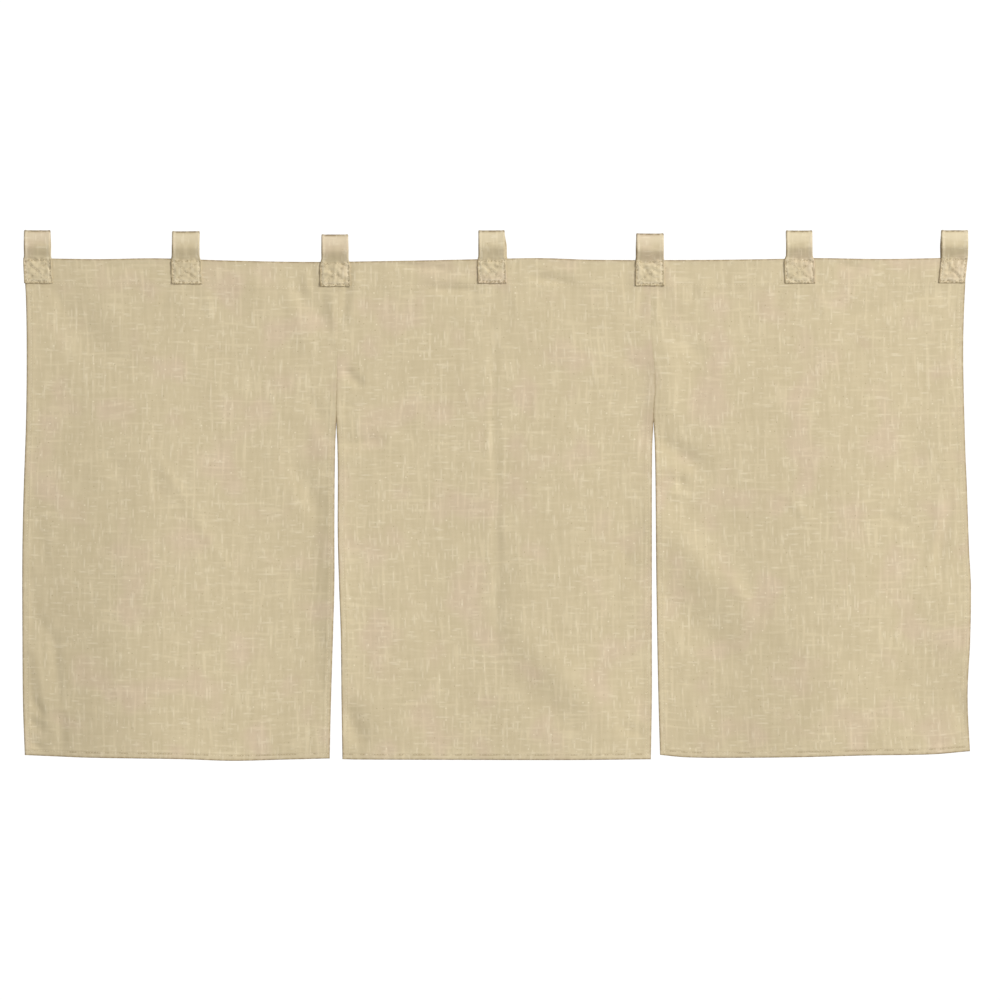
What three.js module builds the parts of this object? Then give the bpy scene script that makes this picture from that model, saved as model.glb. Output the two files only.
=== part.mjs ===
// Noren: a short split curtain of plain slub cloth that hangs from a rod by seven sewn loops.
// Three hemmed panels lie side by side, seamed at the top and open below in two slits.
//
// Millimetres, +Z up. The cloth hangs in the XZ plane and its front looks along -Y.
// The origin is the middle of the hanging line, at the inside top of the loops.
// Depth is the cloth's distance from the XZ plane, and a positive bulge comes towards the viewer.

import * as THREE from 'three';

// Thicknesses and clearance
const CLOTH = 1.2;
const HEM_TURN = 0.8;
const STRIP = 1.4;
const CLEARANCE = 0.3;

// Hems, folded to the back, and the short slope where a hem's thickness ends
const SIDE_HEM = 9;
const BOTTOM_HEM = 14;
const TOP_HEM = 30;
const HEM_SLOPE = 1.5;

// How far the top edge hangs below the hanging line, and a panel's size, which spreads its grid's cells
const EDGE_DROP = 30;
const PANEL_WIDTH = 340;
const PANEL_DROP = 540;
const CELLS_ACROSS = 18;
const CELLS_DOWN = 28;

// Tab loop: how far it bulges to the front and back, how far below its crown it is widest,
// and the height over which it spreads to the width of its foot
const LOOP_FRONT = 9;
const LOOP_BACK = 8;
const CROWN_HEIGHT = 17;
const LOOP_STEPS = 7;
const FOOT_STEPS = 3;
const FOOT_SPREAD = 4;
const STRIP_CELLS = 2;

// Colours from the photograph: an even sand beige, a shade lighter where the tabs catch the light
const CLOTH_COLOUR = 0xd0c0a0;
const TAB_COLOUR = 0xd3c4a3;

// The panels' top edge rises at the tabs and sags between them.
const TOP_EDGE = [
  { x: -512, z: -28.4 },
  { x: -430, z: -29.7 },
  { x: -368, z: -28.8 },
  { x: -290, z: -31.2 },
  { x: -205, z: -32.7 },
  { x: -120, z: -31.8 },
  { x: -60, z: -30.7 },
  { x: -10, z: -29.6 },
  { x: 48, z: -28.6 },
  { x: 105, z: -30.4 },
  { x: 210, z: -30.6 },
  { x: 300, z: -29.6 },
  { x: 346, z: -28.6 },
  { x: 420, z: -29.6 },
  { x: 514, z: -27.6 },
];

// The two outer selvedges wander as they fall.
const OUTER_LEFT = [
  { z: -27, x: -511.0 },
  { z: -72, x: -508.0 },
  { z: -137, x: -507.2 },
  { z: -204, x: -508.0 },
  { z: -292, x: -511.0 },
  { z: -357, x: -512.2 },
  { z: -441, x: -513.2 },
  { z: -513, x: -513.2 },
  { z: -574, x: -508.9 },
];
const OUTER_RIGHT = [
  { z: -27, x: 508.7 },
  { z: -85, x: 505.7 },
  { z: -137, x: 504.8 },
  { z: -227, x: 506.8 },
  { z: -279, x: 508.9 },
  { z: -344, x: 511.1 },
  { z: -383, x: 513.0 },
  { z: -441, x: 512.0 },
  { z: -500, x: 509.4 },
  { z: -574, x: 512.6 },
];

// Each seam runs down from the top edge to where its slit opens.
const SEAM_LEFT = [
  { z: -27, x: -170.6 },
  { z: -58, x: -170.2 },
  { z: -130, x: -171.4 },
  { z: -193, x: -172.6 },
];
const SEAM_RIGHT = [
  { z: -27, x: 166.8 },
  { z: -108, x: 167.8 },
  { z: -163, x: 172.0 },
  { z: -195, x: 170.2 },
];

// Below its seam a slit parts slowly and then faster towards the hem.
const SLIT_LEFT = [
  { z: -193, left: -172.6, right: -172.6 },
  { z: -254, left: -174.0, right: -171.2 },
  { z: -324, left: -174.2, right: -171.4 },
  { z: -380, left: -173.8, right: -170.4 },
  { z: -436, left: -175.0, right: -168.7 },
  { z: -510, left: -177.2, right: -168.0 },
  { z: -574, left: -178.6, right: -166.6 },
];
const SLIT_RIGHT = [
  { z: -195, left: 170.2, right: 170.2 },
  { z: -246, left: 168.8, right: 171.8 },
  { z: -350, left: 168.6, right: 172.8 },
  { z: -436, left: 168.6, right: 174.0 },
  { z: -505, left: 168.6, right: 175.4 },
  { z: -574, left: 167.4, right: 177.4 },
];

// Each panel's bottom edge, with its outer corners turned up a little.
const HEM_OF_LEFT = [
  { x: -514, z: -563.2 },
  { x: -478, z: -566.8 },
  { x: -440, z: -568.9 },
  { x: -340, z: -569.9 },
  { x: -285, z: -571.8 },
  { x: -225, z: -570.0 },
  { x: -178, z: -567.7 },
];
const HEM_OF_MIDDLE = [
  { x: -167, z: -567.7 },
  { x: -150, z: -569.7 },
  { x: 70, z: -570.8 },
  { x: 168, z: -569.8 },
];
const HEM_OF_RIGHT = [
  { x: 177, z: -565.6 },
  { x: 205, z: -568.2 },
  { x: 250, z: -568.8 },
  { x: 330, z: -567.8 },
  { x: 400, z: -565.9 },
  { x: 470, z: -564.8 },
  { x: 514, z: -561.2 },
];

// Slow waves of the hanging cloth: length of a wave, its share of the whole, and where it starts.
const WAVES = [
  { length: 392, share: 1.0, start: -60 },
  { length: 247, share: 0.55, start: 35 },
  { length: 631, share: 0.8, start: 210 },
];
const WAVE_AT_TOP = 0.3;
const WAVE_AT_HEM = 4.4;

// Soft folds that run across the cloth from one point to another.
// A positive height is a ridge towards the viewer, a negative one a trough, and reach is its half width.
const FOLDS = [
  { fromX: -460, fromZ: -84, toX: -255, toZ: -420, height: -3.6, reach: 26 },
  { fromX: -404, fromZ: -84, toX: -315, toZ: -262, height: 2.4, reach: 28 },
  { fromX: -303, fromZ: -236, toX: -266, toZ: -345, height: -2.6, reach: 24 },
  { fromX: -503, fromZ: -438, toX: -452, toZ: -540, height: 3.4, reach: 17 },
  { fromX: 28, fromZ: -372, toX: 104, toZ: -508, height: 4.2, reach: 24 },
  { fromX: -4, fromZ: -352, toX: 58, toZ: -516, height: -2.8, reach: 20 },
  { fromX: 193, fromZ: -296, toX: 270, toZ: -424, height: 5.0, reach: 21 },
  { fromX: 178, fromZ: -352, toX: 240, toZ: -452, height: -3.6, reach: 20 },
  { fromX: 178, fromZ: -204, toX: 236, toZ: -244, height: -2.4, reach: 17 },
  { fromX: 487, fromZ: -96, toX: 490, toZ: -350, height: 2.8, reach: 17 },
];
const FOLD_FADE = 46;

// Edges that curl: the panel, its edge, the stretch of height, how far the curl comes towards the viewer
// and its half width.
const CURLS = [
  { panel: 'panel_left', edge: 'left', highZ: -290, lowZ: -520, height: -4.5, reach: 32 },
  { panel: 'panel_left', edge: 'right', highZ: -215, lowZ: -480, height: 4.6, reach: 24 },
  { panel: 'panel_middle', edge: 'left', highZ: -230, lowZ: -560, height: 3.4, reach: 20 },
  { panel: 'panel_middle', edge: 'right', highZ: -215, lowZ: -500, height: 3.6, reach: 22 },
  { panel: 'panel_right', edge: 'left', highZ: -225, lowZ: -400, height: 2.6, reach: 20 },
  { panel: 'panel_right', edge: 'right', highZ: -280, lowZ: -530, height: -4.0, reach: 30 },
];

// Bottom corners that lean out of the plane of the cloth.
const CORNERS = [
  { panel: 'panel_left', x: -511, z: -566, height: -7.0, reach: 66 },
  { panel: 'panel_left', x: -178, z: -568, height: 3.0, reach: 46 },
  { panel: 'panel_middle', x: -167, z: -568, height: -5.0, reach: 38 },
  { panel: 'panel_middle', x: 168, z: -570, height: 2.6, reach: 50 },
  { panel: 'panel_right', x: 177, z: -566, height: -3.0, reach: 40 },
  { panel: 'panel_right', x: 513, z: -562, height: -5.6, reach: 50 },
];

// The panels and the tables that draw their outlines
const PANELS = [
  { name: 'panel_left', hem: HEM_OF_LEFT },
  { name: 'panel_middle', hem: HEM_OF_MIDDLE },
  { name: 'panel_right', hem: HEM_OF_RIGHT },
];

// The tabs: middle, crown height and foot end of each loop, the widths of its loop and of its flattened
// foot, how far the foot leans sideways, and how far the back leg stands to the right of the front one.
const TABS = [
  { name: 'tab_1', x: -495.7, crown: 0.0, footEnd: -55.8, loop: 28.6, foot: 30.8, lean: 1.2, back: 0.4 },
  { name: 'tab_2', x: -335.1, crown: -1.1, footEnd: -56.5, loop: 29.9, foot: 33.0, lean: 1.2, back: -0.6 },
  { name: 'tab_3', x: -174.2, crown: -4.5, footEnd: -59.2, loop: 29.0, foot: 33.0, lean: 0.4, back: 0.3 },
  { name: 'tab_4', x: -4.9, crown: -0.2, footEnd: -55.8, loop: 28.5, foot: 31.3, lean: 1.0, back: 2.4 },
  { name: 'tab_5', x: 166.3, crown: -3.5, footEnd: -58.6, loop: 29.8, foot: 31.7, lean: -0.2, back: -0.4 },
  { name: 'tab_6', x: 327.4, crown: -0.3, footEnd: -55.8, loop: 28.6, foot: 33.2, lean: 1.1, back: 0.5 },
  { name: 'tab_7', x: 495.4, crown: 0.0, footEnd: -55.4, loop: 29.1, foot: 28.9, lean: -3.0, back: -0.8 },
];

// The value of a table's column at a place along its axis, on a smooth curve through the rows.
function readCurve(rows, axis, column, place) {
  const ordered = rows[0][axis] < rows[rows.length - 1][axis] ? rows : [...rows].reverse();
  const last = ordered.length - 1;
  const at = THREE.MathUtils.clamp(place, ordered[0][axis], ordered[last][axis]);
  let first = 0;
  while (first < last - 1 && ordered[first + 1][axis] < at) {
    first += 1;
  }
  const start = ordered[first];
  const end = ordered[first + 1];
  const slopeAt = (index) => {
    const before = ordered[Math.max(index - 1, 0)];
    const after = ordered[Math.min(index + 1, last)];
    return (after[column] - before[column]) / (after[axis] - before[axis]);
  };
  const span = end[axis] - start[axis];
  const t = (at - start[axis]) / span;
  const startShare = (1 + 2 * t) * (1 - t) ** 2;
  const endShare = t * t * (3 - 2 * t);
  const startPull = t * (1 - t) ** 2 * span * slopeAt(first);
  const endPull = t * t * (t - 1) * span * slopeAt(first + 1);
  return startShare * start[column] + endShare * end[column] + startPull + endPull;
}

// 0 below the first place and 1 past the second, with a soft rise between them.
function rise(place, from, to) {
  const t = THREE.MathUtils.clamp((place - from) / (to - from), 0, 1);
  return t * t * (3 - 2 * t);
}

function topEdge(x) {
  return readCurve(TOP_EDGE, 'x', 'z', x);
}

// A panel's edge on a slit: the seam line above the slit's top, and the slit's own side below it.
function slitEdge(seam, slit, side, z) {
  const halfGap = side === 'left' ? -CLEARANCE / 2 : CLEARANCE / 2;
  const slitTop = slit[0].z;
  const middle = z > slitTop ? readCurve(seam, 'z', 'x', z) : readCurve(slit, 'z', side, z);
  return middle + halfGap;
}

// Where a panel's left or right edge lies at a height.
function sideEdge(panelName, edge, z) {
  const edges = {
    panel_left: {
      left: () => readCurve(OUTER_LEFT, 'z', 'x', z),
      right: () => slitEdge(SEAM_LEFT, SLIT_LEFT, 'left', z),
    },
    panel_middle: {
      left: () => slitEdge(SEAM_LEFT, SLIT_LEFT, 'right', z),
      right: () => slitEdge(SEAM_RIGHT, SLIT_RIGHT, 'left', z),
    },
    panel_right: {
      left: () => slitEdge(SEAM_RIGHT, SLIT_RIGHT, 'right', z),
      right: () => readCurve(OUTER_RIGHT, 'z', 'x', z),
    },
  };
  return edges[panelName][edge]();
}

function waveBulge(x, z) {
  const fall = rise(-z, EDGE_DROP, EDGE_DROP + PANEL_DROP);
  const size = WAVE_AT_TOP + (WAVE_AT_HEM - WAVE_AT_TOP) * fall;
  let sum = 0;
  for (const wave of WAVES) {
    sum += wave.share * Math.sin((2 * Math.PI * (x - wave.start)) / wave.length);
  }
  return size * sum;
}

// A fold is strongest on its line and dies away past its reach and its two ends.
function foldBulge(fold, x, z) {
  const length = Math.hypot(fold.toX - fold.fromX, fold.toZ - fold.fromZ);
  const alongX = (fold.toX - fold.fromX) / length;
  const alongZ = (fold.toZ - fold.fromZ) / length;
  const along = (x - fold.fromX) * alongX + (z - fold.fromZ) * alongZ;
  const across = (x - fold.fromX) * alongZ - (z - fold.fromZ) * alongX;
  const ends = rise(along, -FOLD_FADE, FOLD_FADE) * rise(length - along, -FOLD_FADE, FOLD_FADE);
  return fold.height * ends * Math.exp(-((across / fold.reach) ** 2));
}

function curlBulge(curl, x, z) {
  const middle = (curl.highZ + curl.lowZ) / 2;
  const ends = rise(-z, -curl.highZ, -middle) * rise(z, curl.lowZ, middle);
  const fromEdge = x - sideEdge(curl.panel, curl.edge, z);
  return curl.height * ends * Math.exp(-((fromEdge / curl.reach) ** 2));
}

function cornerBulge(corner, x, z) {
  const distance = Math.hypot(x - corner.x, z - corner.z);
  return corner.height * Math.exp(-((distance / corner.reach) ** 2));
}

// How far the whole cloth stands towards the viewer, the same for all panels.
// The band that the tabs are sewn to stays calm.
function sharedBulge(x, z) {
  const belowBand = rise(topEdge(x) - z, TOP_HEM, TOP_HEM + FOLD_FADE);
  let bulge = waveBulge(x, z);
  for (const fold of FOLDS) {
    bulge += belowBand * foldBulge(fold, x, z);
  }
  return bulge;
}

// The Y of the cloth's middle surface on one panel.
function panelDepth(panelName, x, z) {
  let bulge = sharedBulge(x, z);
  for (const curl of CURLS.filter((row) => row.panel === panelName)) {
    bulge += curlBulge(curl, x, z);
  }
  for (const corner of CORNERS.filter((row) => row.panel === panelName)) {
    bulge += cornerBulge(corner, x, z);
  }
  return -bulge;
}

// Shares from 0 to 1 along a side: a hem at each end with its slope, and even cells between them.
// A hem wider than a cell is split in two.
function gridShares(side, firstHem, lastHem, cells) {
  const start = firstHem + HEM_SLOPE;
  const end = side - lastHem - HEM_SLOPE;
  const places = [0, firstHem];
  for (let cell = 0; cell <= cells; cell += 1) {
    places.push(start + ((end - start) * cell) / cells);
  }
  places.push(side - lastHem);
  if (lastHem > side / cells) {
    places.push(side - lastHem / 2);
  }
  places.push(side);
  return places.map((place) => place / side);
}

// A closed sheet from two grids of points, the front one seen with rows going up and columns to the right.
function sheetGeometry(front, back) {
  const rows = front.length;
  const columns = front[0].length;
  const positions = [];
  for (const grid of [front, back]) {
    for (const row of grid) {
      for (const point of row) {
        positions.push(point.x, point.y, point.z);
      }
    }
  }
  const frontIndex = (row, column) => row * columns + column;
  const backIndex = (row, column) => rows * columns + row * columns + column;
  const triangles = [];
  for (let row = 0; row < rows - 1; row += 1) {
    for (let column = 0; column < columns - 1; column += 1) {
      const corners = [[row, column], [row, column + 1], [row + 1, column + 1], [row + 1, column]];
      const [a, b, c, d] = corners.map((corner) => frontIndex(...corner));
      const [e, f, g, h] = corners.map((corner) => backIndex(...corner));
      triangles.push(a, b, c, a, c, d);
      triangles.push(e, g, f, e, h, g);
    }
  }
  const rim = [];
  for (let column = 0; column < columns - 1; column += 1) {
    rim.push([0, column]);
  }
  for (let row = 0; row < rows - 1; row += 1) {
    rim.push([row, columns - 1]);
  }
  for (let column = columns - 1; column > 0; column -= 1) {
    rim.push([rows - 1, column]);
  }
  for (let row = rows - 1; row > 0; row -= 1) {
    rim.push([row, 0]);
  }
  rim.forEach((place, index) => {
    const next = rim[(index + 1) % rim.length];
    const p = frontIndex(...place);
    const q = frontIndex(...next);
    const r = backIndex(...place);
    const s = backIndex(...next);
    triangles.push(q, p, r, q, r, s);
  });
  const geometry = new THREE.BufferGeometry();
  geometry.setAttribute('position', new THREE.Float32BufferAttribute(positions, 3));
  geometry.setIndex(triangles);
  geometry.computeVertexNormals();
  return geometry;
}

// A panel's cloth point at shares across and up the panel, on its middle surface.
function panelPoint(panel, across, up) {
  const levelZ = -EDGE_DROP - PANEL_DROP * (1 - up);
  const roughX = THREE.MathUtils.lerp(
    sideEdge(panel.name, 'left', levelZ),
    sideEdge(panel.name, 'right', levelZ),
    across,
  );
  const z = THREE.MathUtils.lerp(readCurve(panel.hem, 'x', 'z', roughX), topEdge(roughX), up);
  const x = THREE.MathUtils.lerp(sideEdge(panel.name, 'left', z), sideEdge(panel.name, 'right', z), across);
  return new THREE.Vector3(x, panelDepth(panel.name, x, z), z);
}

function makePanel(panel) {
  const acrossShares = gridShares(PANEL_WIDTH, SIDE_HEM, SIDE_HEM, CELLS_ACROSS);
  const upShares = gridShares(PANEL_DROP, BOTTOM_HEM, TOP_HEM, CELLS_DOWN);
  const sideShare = (SIDE_HEM + HEM_SLOPE / 2) / PANEL_WIDTH;
  const bottomShare = (BOTTOM_HEM + HEM_SLOPE / 2) / PANEL_DROP;
  const topShare = 1 - (TOP_HEM + HEM_SLOPE / 2) / PANEL_DROP;
  const front = [];
  const back = [];
  for (const up of upShares) {
    const frontRow = [];
    const backRow = [];
    for (const across of acrossShares) {
      const point = panelPoint(panel, across, up);
      const inSideHem = across < sideShare || across > 1 - sideShare;
      const inHem = inSideHem || up < bottomShare || up > topShare;
      const behind = CLOTH / 2 + (inHem ? HEM_TURN : 0);
      frontRow.push(new THREE.Vector3(point.x, point.y - CLOTH / 2, point.z));
      backRow.push(new THREE.Vector3(point.x, point.y + behind, point.z));
    }
    front.push(frontRow);
    back.push(backRow);
  }
  const material = new THREE.MeshStandardMaterial({ color: CLOTH_COLOUR, roughness: 0.95, metalness: 0 });
  const mesh = new THREE.Mesh(sheetGeometry(front, back), material);
  mesh.name = panel.name;
  return mesh;
}

// The middle line of a tab's strip, from its front foot's end over the crown to its back foot's end.
// Each step has its height, its offset from the cloth's middle surface, its outward direction,
// and which leg it belongs to.
function stripPath(tab) {
  const edge = topEdge(tab.x);
  const crown = tab.crown + STRIP / 2;
  const widest = crown - CROWN_HEIGHT;
  const frontOffset = CLOTH / 2 + CLEARANCE + STRIP / 2;
  const backOffset = frontOffset + HEM_TURN;
  const legs = [
    { side: -1, foot: frontOffset, bulge: LOOP_FRONT },
    { side: 1, foot: backOffset, bulge: LOOP_BACK },
  ];
  const halves = legs.map((leg) => {
    const steps = [];
    for (let step = 0; step < FOOT_STEPS; step += 1) {
      const z = THREE.MathUtils.lerp(tab.footEnd, edge, step / FOOT_STEPS);
      steps.push({ z, offset: leg.side * leg.foot });
    }
    for (let step = 0; step < LOOP_STEPS; step += 1) {
      const t = step / LOOP_STEPS;
      const swell = (1 - Math.cos(Math.PI * t)) / 2;
      const z = THREE.MathUtils.lerp(edge, widest, t);
      steps.push({ z, offset: leg.side * THREE.MathUtils.lerp(leg.foot, leg.bulge, swell) });
    }
    for (let step = 0; step < LOOP_STEPS; step += 1) {
      const angle = ((Math.PI / 2) * step) / LOOP_STEPS;
      const z = widest + CROWN_HEIGHT * Math.sin(angle);
      steps.push({ z, offset: leg.side * leg.bulge * Math.cos(angle) });
    }
    return steps.map((step) => ({ ...step, side: leg.side }));
  });
  const path = [...halves[0], { z: crown, offset: 0, side: 0 }, ...halves[1].reverse()];
  return path.map((step, index) => {
    const before = path[Math.max(index - 1, 0)];
    const after = path[Math.min(index + 1, path.length - 1)];
    const direction = new THREE.Vector2(after.offset - before.offset, after.z - before.z).normalize();
    const onFoot = step.z <= edge;
    const outY = onFoot ? step.side : -direction.y;
    const outZ = onFoot ? 0 : direction.x;
    return { ...step, edge, outY, outZ };
  });
}

// The strip's middle and half width at one step: wider and leaning on the foot, with the back leg set over.
function stripSpan(tab, step) {
  const onFoot = rise(step.edge - step.z, -FOOT_SPREAD, FOOT_SPREAD);
  const halfWidth = THREE.MathUtils.lerp(tab.loop, tab.foot, onFoot) / 2;
  const downFoot = THREE.MathUtils.clamp((step.edge - step.z) / (step.edge - tab.footEnd), 0, 1);
  const belowCrown = rise(tab.crown - step.z, 0, CROWN_HEIGHT);
  const setOver = step.side > 0 ? tab.back * belowCrown : 0;
  return { middle: tab.x + tab.lean * downFoot + setOver, halfWidth };
}

function makeTab(tab) {
  const outer = [];
  const inner = [];
  for (const step of stripPath(tab)) {
    const span = stripSpan(tab, step);
    const outerRow = [];
    const innerRow = [];
    for (let column = 0; column <= STRIP_CELLS; column += 1) {
      const x = span.middle + span.halfWidth * ((2 * column) / STRIP_CELLS - 1);
      const y = step.offset - sharedBulge(x, Math.min(step.z, step.edge));
      const away = new THREE.Vector3(0, step.outY, step.outZ).multiplyScalar(STRIP / 2);
      const middle = new THREE.Vector3(x, y, step.z);
      outerRow.push(middle.clone().add(away));
      innerRow.push(middle.clone().sub(away));
    }
    outer.push(outerRow);
    inner.push(innerRow);
  }
  const material = new THREE.MeshStandardMaterial({ color: TAB_COLOUR, roughness: 0.95, metalness: 0 });
  const mesh = new THREE.Mesh(sheetGeometry(outer, inner), material);
  mesh.name = tab.name;
  return mesh;
}

const noren = new THREE.Group();
for (const panel of PANELS) {
  noren.add(makePanel(panel));
}
for (const tab of TABS) {
  noren.add(makeTab(tab));
}

export default noren;
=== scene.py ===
"""Looks of the noren: a short split curtain of slub cloth that hangs from seven sewn loops.

The tables and the shape functions are in millimetres, as in the part's source, and points are turned
to metres when a mesh is made. X runs across the curtain, -Y is its front, and Z is up.
A bulge is how far the cloth stands towards the viewer.
"""

import math
import random
from collections import namedtuple

import bpy
import numpy as np
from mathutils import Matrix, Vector, noise


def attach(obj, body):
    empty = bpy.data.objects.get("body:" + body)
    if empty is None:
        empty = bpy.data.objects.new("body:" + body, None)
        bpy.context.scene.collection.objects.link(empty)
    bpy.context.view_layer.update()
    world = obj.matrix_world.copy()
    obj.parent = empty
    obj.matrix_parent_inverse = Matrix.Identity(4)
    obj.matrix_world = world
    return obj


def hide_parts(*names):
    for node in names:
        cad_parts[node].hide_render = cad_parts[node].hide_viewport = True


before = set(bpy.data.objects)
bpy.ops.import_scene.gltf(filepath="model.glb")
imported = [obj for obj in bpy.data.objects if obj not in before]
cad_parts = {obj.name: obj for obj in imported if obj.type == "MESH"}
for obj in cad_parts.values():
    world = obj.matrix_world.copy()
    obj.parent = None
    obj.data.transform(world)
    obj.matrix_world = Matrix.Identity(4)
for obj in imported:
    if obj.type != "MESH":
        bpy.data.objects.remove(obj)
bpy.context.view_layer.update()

MM = 0.001

# Cloth, from its middle surface to either face and to the back of a turned hem, how far a hem stands proud,
# and the radius and the middle of its round rim
LAYER = 0.4
HEM_BACK = 1.2
HEM_PROUD = 0.22
EDGE_RADIUS = 0.9
RIM_MIDDLE = (HEM_BACK - LAYER) / 2

# Hems, folded to the back, how far from the edge each is stitched, and the slope at a hem's inner edge
SIDE_HEM = 7.5
BOTTOM_HEM = 8.0
TOP_HEM = 30.0
SIDE_STITCH = 5.2
BOTTOM_STITCH = 5.6
TOP_STITCH = 27.0
HEM_SLOPE = 0.9
HEMS = (SIDE_HEM, BOTTOM_HEM, TOP_HEM)
STITCH_LINES = (SIDE_STITCH, BOTTOM_STITCH, TOP_STITCH)

# The groove of a hem's stitches: half width, depth, and its share along the sides and the top
GROOVE_REACH = 1.2
GROOVE_DEPTH = 0.2
FAINT_GROOVE = 0.5

# Puckers along the side, bottom and top stitches: height, half width, size across, size up and seed
PUCKERS = [(0.34, 8, 40, 6.5, 21.9), (0.60, 9, 7.5, 40, 27.3), (0.30, 12, 8.5, 40, 33.7)]

# Rolls along an edge: height, distance of the crest from the edge, and half width
PANEL_ROLL = (0.16, 2.4, 1.7)
STRIP_ROLL = (0.3, 1.7, 1.3)
FOOT_DIP = (0.15, 0.0, 1.6)

# A panel's size, the drop of the top edge below the hanging line, and the spacing of the mesh
EDGE_DROP = 30.0
PANEL_WIDTH = 340.0
PANEL_DROP = 540.0
CELL_ACROSS = 2.5
CELL_UP = 2.8
HEM_CELL = CELL_UP * 0.9
EDGE_PLACES = [0.0, 0.04, 0.16, 0.36, 0.62, EDGE_RADIUS, 1.6, 2.6, 3.8, 5.0]
PLACE_GAP = 0.3

# The two seams: how far each edge is pressed past the middle, the heights where the slit parts, and the
# height from which the edges show, with the share of their painted edge shade that they keep above it
SEAM_PRESS = 0.6
SLIT_PRESS = 0.3
SEAM_END = -193.0
SLIT_TOUCH = -208.0
SLIT_FREE = -230.0
SLIT_HALF_GAP = 0.15
SEAM_FREE = -118.0
SEAM_SHADE = 0.1

# Tab loops. They bulge a little less than in the part's source.
STRIP = 1.4
LOOP_FRONT = 8.2
LOOP_BACK = 7.4
CROWN_HEIGHT = 17.0
FOOT_SPREAD = 4.0
LEG_CURVE = 0.35

# A strip's faces from its middle, a foot's faces from the cloth, its least thickness, how much further off
# the back foot stands, and how far above the top edge it turns into a leg
STRIP_OUTER = 0.8
STRIP_INNER = -0.8 * STRIP_OUTER
FOOT_INNER = 0.5
FOOT_OUTER = 2.1
FOOT_MIDDLE = (FOOT_INNER + FOOT_OUTER) / 2
FOOT_LEAST = 0.25
BACK_FOOT_SHIFT = 0.95
FOOT_EASE = 9.0
ROLL_AT_FOOT = 0.3

# The mesh of a strip: places from its side to the box stitching and even cells from there to its middle,
# places up from its end, and the rows on the rest of a foot, on a leg and on half the crown
STRIP_ACROSS = [0, 0.02, 0.08, 0.17, 0.3, 0.5, 0.8, 1.3, 1.9, 2.5, 3.2, 3.9, 4.8]
STRIP_CELLS = 10
END_ROWS = [0.0, 0.03, 0.12, 0.3, 0.55, 0.9, 1.5, 2.1, 2.7, 3.3, 4.0]
FOOT_ROWS = 22
LEG_ROWS = 9
CROWN_ROWS = 12

# The box that is stitched into a foot, and its cross
BOX_INSET = 2.3
BOX_TOP = 2.2
BOX_GROOVE = 1.25
BOX_DEPTH = 0.85
CROSS_SHARE = 0.7
CROSS_SCALE = 7.5

# Unevenness of handled cloth, of a strip and of a foot, and of how deep a foot's stitches pull: height, size
# across, size up and own seed
HANDLED = [(0.75, 46, 58, 3.1), (0.30, 17, 21, 7.7), (0.08, 7, 8, 11.3)]
STRIP_NOISE = [(0.16, 9, 11, 0), (0.07, 3.4, 4.2, 4)]
FOOT_NOISE = [(0.8, 6.5, 6.0, 0), (0.8, 3.6, 3.4, 3)]
LUMPS = 1.2
PULL = 0.75
PULL_NOISE = [(0.5, 3.4, 3.4, 6)]
# First seed, and the step from tab to tab
STRIP_SEEDS = (60, 5.3)
FOOT_SEEDS = (40, 3.7)
BACK_FOOT_SEED = 7.3
SEAM_SEED = 70

# Painted shade and highlights for the material. A shade line has its share and the distances where it begins
# and ends to fade. A highlight band has the distances where it begins, is full, begins to fade and ends.
SIDE_SHADE_LINE = (1.0, 0.425, 1.7)
END_SHADE_LINE = (1.0, 0.475, 1.9)
EDGE_SHADE = (0.22, 0.8, 5.0)
# A tab's painted shadow down its left side, and painted shade on its right side, its end and its crown
TAB_LEFT_SHADOW = (0.9, 0.475, 1.9)
TAB_RIGHT_SHADE = (0.08, 0.35, 1.4)
TAB_END_SHADOW = (0.15, 0.4, 1.6)
# Painted shade where a tab's end is sewn
TAB_END_SEWN_SHADE = (1.0, 0.6, 2.4)
CROWN_SHADE_LINE = (1.0, 2.9, 4.6)
# Painted highlights beside the edges, and on a loop just below its crown
HIGHLIGHT_BAND = (1.2, 2.6, 3.4, 5.2)
CROWN_HIGHLIGHT_BAND = (4.4, 6.5, 11, 18)
PANEL_HIGHLIGHT = 0.25
CROWN_HIGHLIGHT = 0.8

# Stitches: thread, length, gap and shift along the line, and how far a thread lies in or off the cloth
THREAD_RADIUS = 0.19
THREAD_SIDES = 6
THREAD_SUNK = 0.1
THREAD_LIFT = 0.12
STITCH_LENGTH = 2.5
STITCH_GAP = 0.55
STITCH_SHIFT = 0.12
# Shares of a panel where its stitch lines end: at the sides, on the rows, and up a seamed side
LINE_END = 0.004
ROW_END = 0.006
SEAM_STITCH_UP = 0.67
# The stitches across a seam
SEAM_STITCH_START = 4.0
SEAM_STITCH_PITCH = 4.0
SEAM_STITCH_REACH = 1.8
SEAM_STITCH_TILT = (0.5, 1.1)

# Outline of the three panels: (x, z) along the top edge and the hems, (z, x) down the sides
TOP_EDGE = [
    (-512, -28.4), (-430, -29.7), (-368, -28.8), (-290, -31.2), (-205, -32.7), (-120, -31.8),
    (-60, -30.7), (-10, -29.6), (48, -28.6), (105, -30.4), (210, -30.6), (300, -29.6),
    (346, -28.6), (420, -29.6), (514, -27.6),
]
OUTER_LEFT = [
    (-27, -511.0), (-72, -508.0), (-137, -507.2), (-204, -508.0), (-292, -511.0), (-357, -512.2),
    (-441, -512.1), (-513, -511.6), (-574, -509.5),
]
OUTER_RIGHT = [
    (-27, 508.7), (-85, 505.7), (-137, 504.8), (-227, 506.8), (-279, 508.9), (-344, 511.1),
    (-383, 513.0), (-441, 512.0), (-500, 509.4), (-574, 512.6),
]
SEAM_LEFT = [(-27, -170.6), (-58, -170.2), (-130, -171.4), (-193, -172.6)]
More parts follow.
